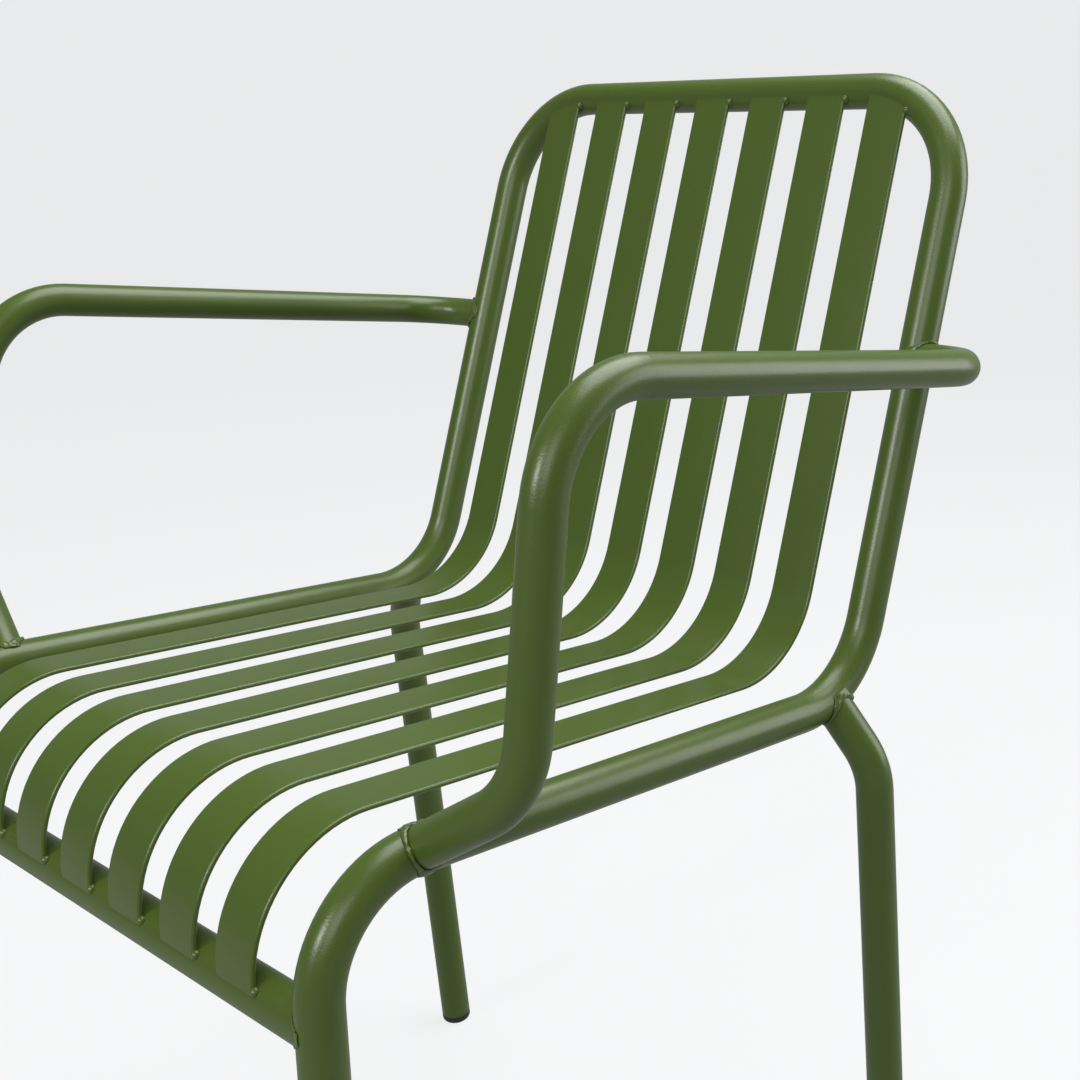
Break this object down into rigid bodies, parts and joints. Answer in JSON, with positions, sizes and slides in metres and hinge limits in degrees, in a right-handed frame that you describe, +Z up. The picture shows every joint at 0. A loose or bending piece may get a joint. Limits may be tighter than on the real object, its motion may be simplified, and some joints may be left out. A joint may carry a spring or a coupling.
{
  "type": "stacking armchair",
  "caption": "Stacking garden armchair of bent round steel tube with flat slats that run in one sweep over the seat and up the back.",
  "frame": {"origin": "on the floor, under the middle of the chair's overall box", "axes": "+Z up, the sitter faces -Y, +X towards the sitter's left hand"},
  "size_m": [0.58, 0.5579, 0.809],
  "materials": {
    "green_coat": "satin moss-green powder coat",
    "glide": "matt black moulded plastic"
  },
  "bodies": {
    "root": {"frame_tube": "green_coat", "front_rail": "green_coat", "slat_1": "green_coat", "slat_2": "green_coat", "slat_3": "green_coat", "slat_4": "green_coat", "slat_5": "green_coat", "slat_6": "green_coat", "slat_7": "green_coat", "arm_left": "green_coat", "arm_right": "green_coat", "rear_leg_left": "green_coat", "rear_leg_right": "green_coat", "slat_beads_front": "green_coat", "slat_beads_top": "green_coat", "front_rail_welds": "green_coat", "arm_front_welds": "green_coat", "arm_back_welds": "green_coat", "rear_leg_welds": "green_coat", "glide_front_left": "glide", "glide_front_right": "glide", "glide_rear_left": "glide", "glide_rear_right": "glide"}
  },
  "joints": []
}
